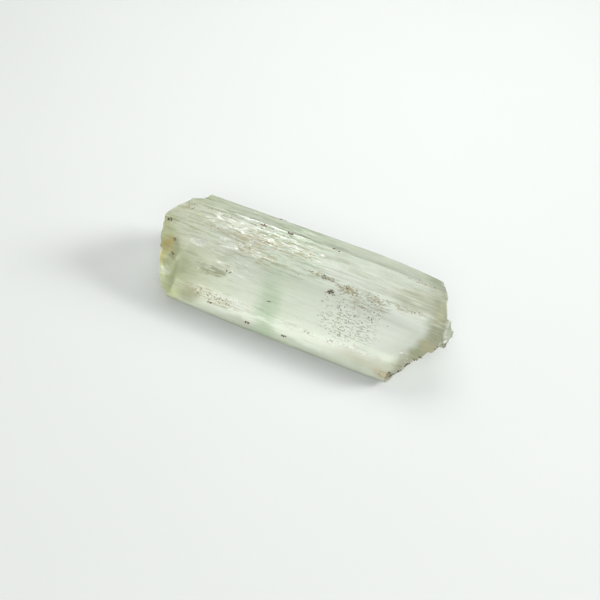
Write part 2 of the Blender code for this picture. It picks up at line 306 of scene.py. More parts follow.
def striationTree():
    floats = [(label, "Int" if isinstance(v, int) else "Float") for label, v in striations.items()]
    tree, given = geometryTree("striatedPrism", floats + [("Material", "Material")])
    curve = made(tree, "GeometryNodeMeshToCurve", {"Mesh": given["Geometry"]})
    around = addNode(
        tree, "GeometryNodeMeshCylinder",
        {"Vertices": given["Points Around"], "Side Segments": given["Stations"],
         "Radius": 1.0, "Depth": given["Length"]},
        fill_type="TRIANGLE_FAN",
    ).outputs["Mesh"]
    at = separate(tree, made(tree, "GeometryNodeInputPosition"))
    turn = maths(tree, "ARCTAN2", at["Y"], at["X"])
    share = maths(tree, "FRACT", maths(tree, "ADD", maths(tree, "DIVIDE", turn, 2 * math.pi), 1.0))

    def sampled(offset, name="grooving", kind="FLOAT"):
        factor = maths(tree, "FRACT", maths(tree, "ADD", share, offset + 1.0))
        named = made(tree, "GeometryNodeInputNamedAttribute", {"Name": name}, data_type=kind)
        return addNode(
            tree, "GeometryNodeSampleCurve", {"Curves": curve, "Value": named, "Factor": factor},
            mode="FACTOR", data_type=kind, use_all_curves=True,
        ).outputs

    def shifted(name, amount):
        return scaled(tree, sampled(0.0, name, "FLOAT_VECTOR")["Value"], amount)

    here = sampled(0.0)
    ahead, behind = sampled(normalStep)["Position"], sampled(-normalStep)["Position"]
    along = vectorMaths(tree, "SUBTRACT", ahead, behind)
    outwards = vectorMaths(tree, "CROSS_PRODUCT", along, (1.0, 0.0, 0.0))
    outwards = vectorMaths(tree, "NORMALIZE", outwards)
    perimeter = made(tree, "GeometryNodeCurveLength", {"Curve": curve})
    s = product(tree, share, perimeter)
    x = at["Z"]
    xFade = maths(tree, "DIVIDE", x, given["Fade Length"])

    def grooves(pitch, depth, stretch, unevenness, shift):
        across = maths(tree, "DIVIDE", s, pitch)
        seed = maths(tree, "ADD", given["Seed"], shift)
        uneven = noiseOf(tree, combine(tree, seed, product(tree, across, unevenScale), 0.0))
        wave = maths(tree, "PINGPONG", maths(tree, "MULTIPLY_ADD", uneven, unevenness, across), 0.5)
        lengthwise = product(tree, xFade, stretch)
        fading = noiseOf(tree, combine(tree, lengthwise, across, maths(tree, "ADD", seed, swellShift)))
        swell = remap(tree, fading, *swellEdges)
        return product(tree, wave, swell, product(tree, depth, 2.0))

    strips, lines, hairs = (
        grooves(given[kind + " Pitch"], given[kind + " Depth"], *shape) for kind, *shape in grooveKinds
    )
    carved = maths(tree, "ADD", strips, maths(tree, "ADD", lines, hairs))
    carved = product(tree, carved, here["Value"])
    inwards = scaled(tree, outwards, product(tree, carved, -1.0))

    # the front and top draw in at both ends, the back only towards +X
    endShare = maths(tree, "DIVIDE", maths(tree, "ABSOLUTE", x), taperReach)
    endShare = maths(tree, "POWER", maths(tree, "MINIMUM", endShare, 1.0), taperPower)
    endMove = shifted("endShift", endShare)
    past = maths(tree, "MAXIMUM", maths(tree, "SUBTRACT", x, backTaperFrom), 0.0)
    past = maths(tree, "DIVIDE", past, taperReach - backTaperFrom)
    backMove = shifted("backShift", product(tree, past, past))
    moves = vectorMaths(tree, "ADD", inwards, vectorMaths(tree, "ADD", endMove, backMove))
    moved = separate(tree, vectorMaths(tree, "ADD", here["Position"], moves))
    rim = combine(tree, x, moved["Y"], maths(tree, "MAXIMUM", moved["Z"], 0.0))
    middle = combine(tree, x, sectionMiddle.y, sectionMiddle.z)
    fromAxis = vectorMaths(tree, "LENGTH", combine(tree, at["X"], at["Y"], 0.0))
    final = addNode(
        tree, "ShaderNodeMix", {4: middle, 5: rim, 0: maths(tree, "GREATER_THAN", fromAxis, 0.5)},
        data_type="VECTOR",
    ).outputs[1]
    shaped = made(tree, "GeometryNodeSetPosition", {"Geometry": around, "Position": final})
    finishTree(tree, shaped, given["Material"])
    return tree


# The hackly breaks at both ends

breaks = {
    "cleavageAngle": 87.0,
    "cleavageTurn": 40.0,
    "span": 8.0,
    "depth": 24.0,
    "terraceLeast": 0.35,
    "terraceMost": 0.95,
    "terraceJoin": 0.34,
    "terraceFollow": 0.7,
    "terraceStep": 0.20,
    "terraceTilt": 0.14,
    "riser": 0.03,
    "splinterPitch": 0.24,
    "splinterStep": 0.035,
    "splinterTilt": 0.20,
    "splinterRiser": 0.008,
    "splinterStray": 0.3,  # how far a cut lies from its even place, as a share of the pitch
    "splinterSeed": 5,
    "ledge": (-0.90, 4.30),  # Y and Z
    "ledgeRadius": 1.10,
    "ledgeRise": 0.45,
}
leftBreak = {
    "side": -1,
    "least": 13.1,
    "planes": ((12.55, 0.0, 0.46), (15.65, -0.75, 0.0)),  # X where Y and Z are 0, and its slopes
    "seed": 334,
}
rightBreak = {
    "side": 1,
    "least": 11.0,
    "planes": ((11.42, 0.30, 0.80), (14.50, 0.0, 0.0), (14.50, -0.52, 0.0)),
    "seed": 288,
}


def terraceLines(rng):
    lines = [-breaks["span"]]
    edge = -breaks["span"]
    while edge < breaks["span"] - breaks["terraceMost"]:
        edge += rng.uniform(breaks["terraceLeast"], breaks["terraceMost"])
        lines += [edge - breaks["riser"], edge + breaks["riser"]]
    return lines + [breaks["span"]]


def breakReach(end, y, z):
    reach = max(end["least"], min(at + perY * y + perZ * z for at, perY, perZ in end["planes"]))
    ledgeY, ledgeZ = breaks["ledge"]
    if end["side"] > 0 and math.hypot(y - ledgeY, z - ledgeZ) < breaks["ledgeRadius"]:
        reach += breaks["ledgeRise"]
    return reach


def sheetPlace(u, v):
    turn = breaks["cleavageTurn"]
    across = direction(turn) * u + direction(turn + breaks["cleavageAngle"]) * v
    return sectionMiddle + across


def terraceTable(end, us, vs, rng):
    table = {}
    for i in range(len(us) // 2):
        for j in range(len(vs) // 2):
            if i and rng.random() < breaks["terraceJoin"]:
                table[i, j] = table[i - 1, j]
            elif j and rng.random() < breaks["terraceJoin"]:
                table[i, j] = table[i, j - 1]
            else:
                anchor = sheetPlace(us[2 * i], vs[2 * j])
                reach = breakReach(end, anchor.y, anchor.z)
                reach += rng.uniform(-1.0, 1.0) * breaks["terraceStep"]
                tilts = [rng.uniform(-1.0, 1.0) * breaks["terraceTilt"] for axis in "yz"]
                table[i, j] = (anchor, reach, tilts)
    return table


def splinterLines(lines, rng):
    fine = []
    for k in range(len(lines) // 2):
        low, high = lines[2 * k], lines[2 * k + 1]
        count = max(1, round((high - low) / breaks["splinterPitch"]))
        fine.append((low, k))
        for cut in range(1, count):
            stray = rng.uniform(-breaks["splinterStray"], breaks["splinterStray"])
            middle = low + (high - low) * (cut + stray) / count
            fine += [(middle - breaks["splinterRiser"], k), (middle + breaks["splinterRiser"], k)]
        fine.append((high, k))
    return fine


def breakSheet(end):
    rng = random.Random(end["seed"])
    us, vs = terraceLines(rng), terraceLines(rng)
    table = terraceTable(end, us, vs, rng)
    splinters = random.Random(breaks["splinterSeed"] + end["seed"])
    fineUs, fineVs = splinterLines(us, splinters), splinterLines(vs, splinters)
    fineTable = {}
    rows = []
    for i, (u, mainI) in enumerate(fineUs):
        row = []
        for j, (v, mainJ) in enumerate(fineVs):
            anchor, reach, tilts = table[mainI, mainJ]
            place = sheetPlace(u, v)
            cell = (i // 2, j // 2)
            if cell not in fineTable:
                draws = [splinters.uniform(-1.0, 1.0) for draw in range(3)]
                fineTable[cell] = (place.copy(), draws)
            fineAnchor, draws = fineTable[cell]
            away = place - anchor
            own = breakReach(end, place.y, place.z) - breakReach(end, anchor.y, anchor.z)
            reach += breaks["terraceFollow"] * own + tilts[0] * away.y + tilts[1] * away.z
            near = place - fineAnchor
            reach += draws[0] * breaks["splinterStep"]
            reach += breaks["splinterTilt"] * (draws[1] * near.y + draws[2] * near.z)
            row.append(Vector((end["side"] * reach, place.y, place.z)))
        rows.append(row)
    return rows


def addBreakBlock(bm, end):
    rows = breakSheet(end)
    grid = bmesh.ops.create_grid(bm, x_segments=len(rows) - 1, y_segments=len(rows[0]) - 1, size=1.0)
    for vert in grid["verts"]:
        i = round((vert.co.x + 1.0) / 2.0 * (len(rows) - 1))
        j = round((vert.co.y + 1.0) / 2.0 * (len(rows[0]) - 1))
        vert.co = rows[i][j]
    faces = list({face for vert in grid["verts"] for face in vert.link_faces})
    outer = bmesh.ops.extrude_face_region(bm, geom=faces)["geom"]
    for vert in (item for item in outer if isinstance(item, bmesh.types.BMVert)):
        vert.co.x = end["side"] * breaks["depth"]


# Pits and nicks: face, X, share across the face, length, width, depth, turn

pits = (
    ("crown", -8.3, 0.70, 2.6, 0.34, 0.10, 0),
    ("crown", -3.4, 0.28, 3.4, 0.30, 0.11, 0),
    ("crown", 1.6, 0.62, 2.1, 0.26, 0.08, 0),
    ("crown", 7.2, 0.35, 4.2, 0.24, 0.07, 0),
    ("frontSlope", 2.9, 0.95, 2.2, 0.30, 0.12, 2),
    ("frontSlope", 6.6, 0.90, 1.7, 0.26, 0.10, -2),
    ("frontSlope", 1.1, 0.16, 1.1, 0.30, 0.10, -24),
    ("frontSlope", -2.6, 0.06, 2.8, 0.24, 0.09, 0),
    ("frontSlope", 8.2, 0.05, 2.1, 0.30, 0.11, 0),
    ("frontBevel", -7.2, 0.72, 3.4, 0.32, 0.10, 0),
    ("frontBevel", 3.4, 0.55, 2.6, 0.28, 0.09, 0),
    ("backSlope", -1.5, 0.05, 5.0, 0.26, 0.09, 0),
    ("backSlope", 8.4, 0.10, 4.6, 0.26, 0.09, 0),
    ("backWall", -5.8, 0.40, 4.4, 0.40, 0.12, 0),
    ("backWall", 3.1, 0.65, 3.2, 0.36, 0.12, 0),
    ("crown", -14.0, 0.10, 3.6, 0.22, 0.42, 4),
)
nicks = (
    ("crown", -14.2, 0.62, 1.5, 1.0, 0.40, 30),
    ("backSlope", -13.2, 0.45, 1.3, 1.1, 0.35, -25),
    ("frontBevel", -13.6, 0.25, 1.1, 0.9, 0.30, 10),
    ("frontBevel", 11.5, 0.45, 1.1, 0.7, 0.30, 40),
    ("frontSlope", 13.2, 0.12, 0.9, 0.7, 0.28, -30),
    ("backSlope", 12.4, 0.75, 1.4, 1.2, 0.36, 20),
)
cleavagePit = ("frontSlope", -8.45, 0.39, 2.9, 0.95, 0.14, 0)
cleavagePitEnds = {-1: 0.12, 1: -0.64}  # how far each end slants


def faceFrame(faceName, x, share, turn):
    slope, width = next(face[1:3] for face in section["faces"] if face[0] == faceName)
    up, out = direction(slope), direction(slope + 90.0)
    place = faceStarts()[faceName] + up * width * share
    axes = Matrix((Vector((1.0, 0.0, 0.0)), up, out)).transposed().to_4x4()
    turned = axes @ Matrix.Rotation(math.radians(turn), 4, "Z")
    return Matrix.Translation(Vector((x, place.y, place.z))) @ turned


def addLens(bm, pit):
    faceName, x, share, length, width, depth, turn = pit
    ball = bmesh.ops.create_icosphere(bm, subdivisions=1, radius=1.0)["verts"]
    bmesh.ops.scale(bm, vec=(length / 2.0, width / 2.0, depth), verts=ball)
    bmesh.ops.transform(bm, matrix=faceFrame(faceName, x, share, turn), verts=ball)


def addCleavagePit(bm, pit):
    faceName, x, share, length, width, depth, turn = pit
    box = bmesh.ops.create_cube(bm, size=1.0)["verts"]
    bmesh.ops.scale(bm, vec=(length, width, 2.0 * depth), verts=box)
    for vert in box:
        vert.co.x += cleavagePitEnds[1 if vert.co.x > 0.0 else -1] * vert.co.y
    bmesh.ops.transform(bm, matrix=faceFrame(faceName, x, share, turn), verts=box)


cuts = (  # name, and what adds each part of the cutter
    ("pitCutter", [(addLens, pit) for pit in pits] + [(addCleavagePit, cleavagePit)]),
    ("nickCutter", [(addLens, nick) for nick in nicks]),
    ("breakCutter", [(addBreakBlock, leftBreak), (addBreakBlock, rightBreak)]),
)


def cutWith(crystal, name, parts):
    bm = bmesh.new()
    for add, part in parts:
        add(bm, part)
    bmesh.ops.recalc_face_normals(bm, faces=bm.faces)
    cutter = newThing(name, meshFrom(name, bm))
    boolean = crystal.modifiers.new(name, "BOOLEAN")
    boolean.operation = "DIFFERENCE"
    boolean.solver = "EXACT"
    boolean.object = cutter
    settle(crystal)
    bpy.data.objects.remove(cutter, do_unlink=True)


def makeCrystal(material):
    crystal = sectionOutline()
    runTree(crystal, striationTree(), {**striations, "Material": material})
    settle(crystal)
    print("prism:", len(crystal.data.polygons), "faces")
    for name, parts in cuts:
        cutWith(crystal, name, parts)
    crystal.data.materials.clear()
    crystal.data.materials.append(material)
    print("crystal cut:", len(crystal.data.polygons), "faces")
    return crystal


# Grains and slivers scattered over the surface, in millimetres

grainShape = ("Clumping", "Stretch", "Flatness", "Sink", "Wear", "Turn")
grainInputs = (
    ("Centre", "Vector"), ("Reach", "Vector"),
    *[(label, "Float") for label in ("Density", "Least Size", "Most Size", *grainShape)],
    ("Seed", "Int"), ("Material", "Material"),
)
scatter = {
    "softness": 0.65,  # share of a patch over which it thins out
    "clumpScale": 2.4,
    "clumpEdges": (0.42, 0.62),
    "knockScale": 9.0,  # of the noise that wears the grains' shapes
    "turnSeed": 3,
    "sizeSeed": 11,
    "stretchSeed": 17,
}


def scatterTree():
    tree, given = geometryTree("surfaceGrains", grainInputs)
    place = made(tree, "GeometryNodeInputPosition")
    inside = ellipsoid(tree, place, given["Centre"], given["Reach"], scatter["softness"])
    clumps = remap(tree, noiseOf(tree, place, scatter["clumpScale"], 1.0), *scatter["clumpEdges"])
    clumps = maths(tree, "MULTIPLY_ADD", given["Clumping"], maths(tree, "SUBTRACT", clumps, 1.0), 1.0)
    density = product(tree, inside, clumps, given["Density"])
    spread = addNode(
        tree, "GeometryNodeDistributePointsOnFaces",
        {"Mesh": given["Geometry"], "Density": density, "Seed": given["Seed"]},
        distribute_method="RANDOM",
    )
    lengthwise = made(
        tree, "FunctionNodeAlignRotationToVector", {"Vector": (1.0, 0.0, 0.0)}, axis="X",
    )
    laid = made(
        tree, "FunctionNodeAlignRotationToVector",
        {"Rotation": lengthwise, "Vector": spread.outputs["Normal"]}, axis="Z", pivot_axis="X",
    )
    turn = randomValue(tree, product(tree, given["Turn"], -1.0), given["Turn"], scatter["turnSeed"])
    twist = made(tree, "FunctionNodeAxisAngleToRotation", {"Axis": (0.0, 0.0, 1.0), "Angle": turn})
    inputs = {"Rotation": laid, "Rotate By": twist}
    turned = made(tree, "FunctionNodeRotateRotation", inputs, rotation_space="LOCAL")
    size = randomValue(tree, given["Least Size"], given["Most Size"], scatter["sizeSeed"])
    stretch = product(tree, size, randomValue(tree, 1.0, given["Stretch"], scatter["stretchSeed"]))
    sizes = combine(tree, stretch, size, product(tree, size, given["Flatness"]))
    grain = addNode(tree, "GeometryNodeMeshIcoSphere", {"Radius": 0.5, "Subdivisions": 1}).outputs["Mesh"]
    grains = made(
        tree, "GeometryNodeInstanceOnPoints",
        {"Points": spread.outputs["Points"], "Instance": grain, "Rotation": turned, "Scale": sizes},
    )
    sunk = made(
        tree, "GeometryNodeTranslateInstances",
        {"Instances": grains, "Translation": combine(tree, 0.0, 0.0, given["Sink"])},
    )
    realized = made(tree, "GeometryNodeRealizeInstances", {"Geometry": sunk})
    knocks = jitter(tree, place, scatter["knockScale"], 1.0, given["Wear"])
    worn = made(tree, "GeometryNodeSetPosition", {"Geometry": realized, "Offset": knocks})
    finishTree(tree, worn, given["Material"])
    return tree


def scatterPiece(name, crystal, tree, kind, group):
    material = makeSpeckled(group, *kind["finish"])
    least, most = kind["sizes"]
    parts = []
    for index, (centre, reach, density) in enumerate(kind["patches"]):
        part = newThing(name, crystal.data.copy())
        values = {
            "Centre": centre, "Reach": reach, "Density": density, "Seed": kind["seed"] + index,
            "Least Size": least, "Most Size": most, "Material": material,
            **{label: kind[label.lower()] for label in grainShape},
        }
        runTree(part, tree, values)
        settle(part)
        parts.append(part)
    bm = bmesh.new()
    for part in parts:
        bm.from_mesh(part.data)
        bpy.data.objects.remove(part, do_unlink=True)
    piece = newThing(name, meshFrom(name, bm))
    piece.data.materials.clear()
    piece.data.materials.append(material)
    toFrame(piece)
    print(name + ":", len(piece.data.polygons), "faces")
    return piece


# a finish is the material's name, its two colours, the scale of its mottle and the height of its grit
darkGrains = {
    "sizes": (0.025, 0.06), "stretch": 4.6, "flatness": 0.5, "sink": -0.005, "wear": 0.02,
    "clumping": 0.35, "turn": 0.14, "seed": 10,
    "finish": ("darkMineral", (0.05, 0.038, 0.026), (0.21, 0.155, 0.09), 1.3, 0.02),
    "patches": (  # centre, reach, grains to a square millimetre
        ((6.0, -3.1, 4.4), (4.4, 2.7, 2.5), 10.0),
        ((6.0, -3.8, 3.8), (3.2, 1.3, 1.4), 12.0),
        ((3.4, -1.5, 5.75), (0.55, 0.35, 0.35), 120.0),
        ((4.9, -0.9, 6.2), (1.6, 0.5, 0.5), 40.0),
        ((2.4, -0.62, 6.45), (2.0, 0.26, 0.26), 80.0),
        ((7.6, -0.8, 6.3), (2.2, 0.4, 0.4), 50.0),
        ((10.6, -0.7, 6.3), (2.6, 0.22, 0.22), 50.0),
        ((8.0, -2.2, 5.1), (0.6, 0.2, 0.2), 70.0),
        ((7.6, -1.6, 5.7), (2.0, 0.9, 0.9), 14.0),
        ((-7.0, -2.7, 4.7), (0.2, 0.12, 0.12), 150.0),
        ((-0.2, -1.05, 6.1), (0.5, 0.10, 0.10), 90.0),
        ((14.2, -1.4, 4.2), (1.0, 1.4, 1.6), 6.0),
    ),
}
rustGrains = {
    "sizes": (0.04, 0.09), "stretch": 3.6, "flatness": 0.45, "sink": -0.008, "wear": 0.03,
    "clumping": 0.85, "turn": 0.2, "seed": 50,
    "finish": ("rustyStain", (0.38, 0.26, 0.09), (0.24, 0.17, 0.09), 0.9, 0.02),
    "patches": (
        ((-6.2, 0.5, 6.75), (1.2, 0.5, 0.4), 50.0),
        ((-4.1, 0.7, 6.8), (0.8, 0.4, 0.4), 50.0),
        ((-9.6, 0.2, 6.65), (1.8, 0.35, 0.4), 40.0),
        ((-6.0, -0.5, 6.5), (1.5, 0.35, 0.4), 44.0),
        ((-0.4, 1.0, 6.8), (1.3, 0.9, 0.4), 26.0),
        ((-8.4, -4.75, 2.6), (2.4, 0.5, 0.9), 44.0),
        ((-6.2, -4.75, 2.5), (1.6, 0.5, 0.7), 44.0),
        ((-3.0, 0.6, 6.8), (3.0, 1.0, 0.4), 10.0),
        ((-13.1, -2.8, 4.4), (0.5, 0.6, 0.6), 40.0),
        ((-10.2, 2.2, 6.9), (2.2, 0.4, 0.4), 14.0),
        ((-4.5, 1.9, 6.9), (3.0, 0.7, 0.4), 10.0),
        ((2.6, -4.7, 3.0), (0.6, 0.15, 0.35), 70.0),
        ((5.0, -4.7, 2.9), (0.7, 0.15, 0.35), 60.0),
        ((11.0, 2.45, 6.8), (2.4, 0.22, 0.4), 60.0),
        ((-13.3, 1.8, 6.7), (0.9, 0.9, 0.4), 26.0),
        ((10.7, -5.0, 1.5), (1.3, 0.4, 0.7), 26.0),
        ((4.9, -1.0, 6.1), (1.4, 0.6, 0.6), 60.0),
        ((5.2, -2.4, 5.0), (3.6, 2.0, 2.0), 8.0),
        ((1.2, -0.6, 6.5), (1.0, 0.3, 0.3), 30.0),
    ),
}
darkCrust = {
    "sizes": (0.08, 0.16), "stretch": 2.2, "flatness": 0.8, "sink": -0.010, "wear": 0.05,
    "clumping": 0.4, "turn": 0.4, "seed": 90,
    "finish": ("brownCrust", (0.075, 0.05, 0.028), (0.20, 0.13, 0.065), 1.1, 0.02),
    "patches": (
        ((11.3, -4.93, 1.6), (0.45, 0.25, 0.3), 90.0),
        ((11.95, -4.7, 2.3), (0.5, 0.3, 0.3), 130.0),
        ((12.45, -4.0, 2.75), (0.5, 0.4, 0.35), 140.0),
        ((12.9, -3.55, 3.2), (0.4, 0.3, 0.4), 80.0),
        ((13.35, -3.45, 3.85), (0.25, 0.2, 0.2), 90.0),
        ((14.4, -2.45, 4.6), (0.3, 0.2, 0.2), 130.0),
        ((15.05, -1.8, 4.6), (0.3, 0.3, 0.3), 60.0),
        ((-5.6, 2.5, 6.9), (0.35, 0.14, 0.2), 150.0),
        ((-2.8, 2.55, 6.95), (0.25, 0.12, 0.2), 120.0),
        ((-1.6, 2.8, 6.85), (0.3, 0.12, 0.2), 110.0),
        ((1.9, 2.55, 6.95), (0.6, 0.12, 0.2), 80.0),
        ((-5.0, 4.95, 5.75), (0.4, 0.2, 0.2), 130.0),
        ((-7.0, -2.7, 4.7), (0.22, 0.12, 0.12), 130.0),
        ((-13.4, -1.7, 5.3), (0.22, 0.2, 0.2), 110.0),
        ((-13.0, -2.8, 4.4), (0.25, 0.2, 0.2), 110.0),
        ((-14.6, -0.4, 6.3), (0.3, 0.2, 0.2), 90.0),
        ((-2.0, -3.7, 3.9), (0.22, 0.12, 0.12), 110.0),
        ((-8.0, -4.9, 2.0), (0.25, 0.12, 0.16), 160.0),
        ((0.3, -5.1, 1.5), (0.45, 0.12, 0.14), 110.0),
        ((-3.7, -5.1, 1.4), (0.3, 0.12, 0.14), 120.0),
        ((3.4, -1.5, 5.75), (0.45, 0.2, 0.2), 80.0),
        ((8.0, -2.2, 5.1), (0.5, 0.10, 0.10), 70.0),
    ),
}
# pale slivers on the striation steps and edges: painted glints
glintSlivers = {
    "sizes": (0.03, 0.06), "stretch": 22.0, "flatness": 0.3, "sink": -0.003, "wear": 0.01,
    "clumping": 0.6, "turn": 0.1, "seed": 130,
    "finish": ("glintSliver", (0.92, 0.93, 0.86), (0.98, 0.98, 0.92), 0.8, 0.005),
    "patches": (
        ((-5.5, 1.3, 6.8), (8.5, 1.6, 0.5), 24.0),
        ((6.0, 1.0, 6.8), (7.0, 1.6, 0.5), 4.0),
        ((-5.0, 2.6, 6.95), (6.0, 0.12, 0.2), 90.0),
        ((-6.8, -4.7, 2.9), (5.0, 0.5, 0.7), 44.0),
        ((1.0, -4.7, 2.8), (2.6, 0.3, 0.6), 40.0),
        ((6.8, -4.7, 3.0), (5.0, 0.25, 0.4), 50.0),
        ((-6.0, -0.6, 6.4), (5.0, 0.7, 0.7), 22.0),
        ((-9.5, -1.3, 5.7), (3.0, 0.9, 0.9), 14.0),
        ((-11.1, -1.3, 5.75), (0.9, 0.7, 0.7), 26.0),
        ((-7.0, -2.0, 5.1), (3.4, 1.2, 1.2), 6.0),
        ((-13.2, -4.1, 3.3), (0.9, 0.6, 0.6), 50.0),
        ((11.6, -3.9, 3.6), (1.6, 0.7, 0.8), 12.0),
    ),
}


# Materials, whose places are in millimetres

def newMaterial(name):
    material = bpy.data.materials.new(name)
    material.use_nodes = True
    tree = material.node_tree
    return material, tree, tree.nodes["Principled BSDF"]


def millimetres(tree):
    place = addNode(tree, "ShaderNodeTexCoord").outputs["Object"]
    return scaled(tree, place, 1.0 / mm)


def bumped(tree, height, strength, depth):
    inputs = {"Height": height, "Strength": strength, "Distance": depth * mm}
    return made(tree, "ShaderNodeBump", inputs)


def fade(tree, at, name, *values):
    axis, *steps = fades[name]
    return remap(tree, at[axis], *steps, *values)


def washed(tree, colour, place, washes):
    for centre, reach, softness, wash, strength in washes:
        mask = product(tree, ellipsoid(tree, place, centre, reach, softness), strength)
        colour = mixColours(tree, mask, colour, wash)
    return colour


gem = {
    "colour": (0.955, 0.98, 0.925),
    "ior": 1.665,
    "transmission": 0.88,
    "absorption": (0.74, 0.87, 0.60),
    "density": 12.0,
    "wander": (0.7, 2.0, 1.1),  # scale, detail and reach of the noise that blurs the washes' outlines
    "broadStretch": (0.30, 4.4, 4.4),  # of the noises behind the lengthwise lines
    "fineStretch": (0.5, 5.5, 5.5),
    "broadNoise": (1.0, 3.0, 0.6),  # scale, detail, roughness
    "dashNoise": (1.0, 2.0, 0.6),
    "darkEdges": (0.50, 0.60),
    "darkStrength": 0.9,
    "paleEdges": (0.54, 0.62),
    "streakScale": 1.7,  # of the etched streaks in the roughness
    "streakEdges": (0.38, 0.62),
    "cloudScale": 0.35,
    "cloudEdges": (0.35, 0.65),
    "breakFacing": (0.30, 0.55),  # how far along X a face looks, before it counts as broken
    "faceRoughness": (0.285, 0.33),
    "crownRoughness": (0.285, 0.46),
    "baseRoughness": (0.285, 0.55),
    "hairlines": 0.35,  # strength and depth of the finest lines, too small to model
    "hairlineDepth": 0.03,
    # painted shade: olive bands inside both breaks, darker where light crosses more of the crystal
    "olive": (0.62, 0.64, 0.36),
    "leftBand": (2.6, 0.3, -0.5, -0.2),  # gap to the break: where the band fades in and out
    "rightBand": (2.1, 0.8, -0.4, 0.0),
    "rightOlive": (0.28, 0.29, 0.11),
    "breakColours": ((0.55, 0.57, 0.36), (0.66, 0.70, 0.56)),  # left and right
    "backColour": (0.74, 0.77, 0.68),
    "backRoughness": 0.70,
    "darkLine": (0.48, 0.50, 0.36),
    # pale streaks on the upper faces: partly etched frosting, partly painted glints along the striations
    "paleGlintLine": (0.88, 0.92, 0.78),
    "washes": (  # centre, reach, softness, colour, strength
        ((-11.5, -3.0, 4.0), (6.5, 6.0, 5.0), 0.6, (0.90, 0.91, 0.74), 0.8),
        ((-1.5, 1.5, 5.0), (5.5, 5.5, 5.5), 0.8, (0.84, 0.97, 0.80), 0.8),
        ((8.5, -2.5, 4.6), (5.0, 2.6, 2.6), 0.6, (0.93, 0.96, 0.97), 0.8),
        ((8.5, 1.4, 6.8), (6.5, 2.2, 1.0), 0.6, (0.70, 0.71, 0.60), 0.85),
        ((0.0, 2.0, 7.2), (17.0, 2.0, 1.2), 0.6, (0.61, 0.68, 0.55), 0.9),
        ((-6.9, 1.5, 7.0), (6.2, 1.9, 0.9), 0.6, (0.50, 0.54, 0.40), 0.8),
        ((-13.0, -3.6, 3.4), (5.0, 3.2, 3.4), 0.7, (0.46, 0.48, 0.32), 0.9),
        ((-13.3, -2.6, 4.6), (1.8, 2.2, 2.0), 0.6, (0.46, 0.48, 0.32), 0.9),
        ((8.6, -5.0, 2.0), (6.2, 1.2, 2.0), 0.95, (0.38, 0.36, 0.26), 0.9),
        ((-12.8, -5.1, 2.0), (4.4, 1.0, 2.2), 0.6, (0.34, 0.36, 0.22), 0.9),
        ((1.0, -5.3, 1.0), (16.0, 0.8, 1.0), 0.7, (0.60, 0.64, 0.54), 0.9),
        ((-2.8, 1.5, 7.0), (5.4, 1.8, 0.9), 0.7, (0.30, 0.43, 0.21), 0.9),
        ((11.3, 0.3, 6.6), (3.6, 2.0, 1.0), 0.7, (0.42, 0.41, 0.26), 0.9),
        ((-10.2, -4.9, 2.2), (1.9, 1.0, 1.4), 0.7, (0.28, 0.29, 0.16), 0.9),
        ((-12.4, -4.4, 3.2), (1.5, 0.7, 0.8), 0.7, (0.68, 0.70, 0.52), 0.8),
        ((-8.4, -3.0, 4.4), (1.8, 0.65, 0.6), 0.35, (0.30, 0.32, 0.18), 0.95),
        ((-10.9, -1.1, 5.9), (1.6, 0.9, 0.8), 0.7, (1.0, 1.0, 0.97), 0.9),
    ),
    "stains": (
        ((-13.9, -2.3, 4.8), (1.2, 1.5, 1.5), 0.9, (0.56, 0.38, 0.08), 0.9),
        ((-14.1, -3.3, 3.9), (0.9, 1.0, 1.1), 0.9, (0.66, 0.50, 0.12), 0.8),
        ((10.7, -5.0, 1.5), (1.7, 0.7, 0.9), 0.9, (0.44, 0.31, 0.15), 0.85),
        ((13.9, -2.6, 4.6), (1.5, 1.0, 1.0), 0.9, (0.52, 0.44, 0.17), 0.7),
        ((12.2, -4.3, 2.7), (1.3, 0.8, 0.9), 0.9, (0.40, 0.31, 0.15), 0.7),
        ((4.8, -0.9, 6.2), (1.2, 0.5, 0.5), 0.8, (0.62, 0.56, 0.38), 0.7),
        ((13.9, 0.6, 6.6), (0.8, 2.4, 1.0), 0.7, (0.66, 0.62, 0.34), 0.6),
    ),
    # painted shade: colour of a dark contact-shadow line along the front edge, next to the sheet
    "contactShadeColour": (0.16, 0.18, 0.11),
    "bandPath": ((2.0, -1.9), (4.0, -2.0), (6.7, -3.2)),  # Z and X of the deep green band's middle
    "bandEdges": (1.8, 0.1),
    "bandColour": (0.50, 0.64, 0.47),
    "bandStrength": 0.9,
}
fades = {  # axis, where it starts and ends, and the values there where they aren't 0 and 1
    "bandDown": ("Z", 6.6, 3.4, 0.35, 1.0),
    "bandFront": ("Y", 1.0, -1.0),
    # fades of the painted olive shade near the breaks
    "leftOliveFront": ("Y", 2.5, -1.5, 0.4, 1.0),
    "rightOliveFront": ("Y", 3.0, -1.0, 0.5, 1.0),
    "rightOliveUp": ("Z", 2.2, 3.8, 0.3, 1.0),
    # where the painted contact-shadow line lies: low down and at the front
    "contactShadeDown": ("Z", 1.0, 0.5),
    "contactShadeOut": ("Y", -4.8, -5.0, 0.0, 0.9),
    "leftToRight": ("X", -5.0, 5.0),
    "backBehind": ("Y", 2.55, 2.80),
    "backUp": ("Z", 5.2, 5.7),
    "linesUp": ("Z", 4.9, 6.5, 0.25, 1.0),
    "linesLeft": ("X", 5.0, 0.0, 0.5, 1.0),
    "etchedTop": ("Z", 6.30, 6.60),
    "etchedLeft": ("X", 1.0, -4.0, 0.0, 0.6),
    "etchedSlope": ("Z", 4.6, 6.0),
    "roughBehind": ("Y", 3.0, 3.6),
    "underneath": ("Z", 0.10, 0.02),
    "baseBack": ("Y", -2.2, -0.8),
}
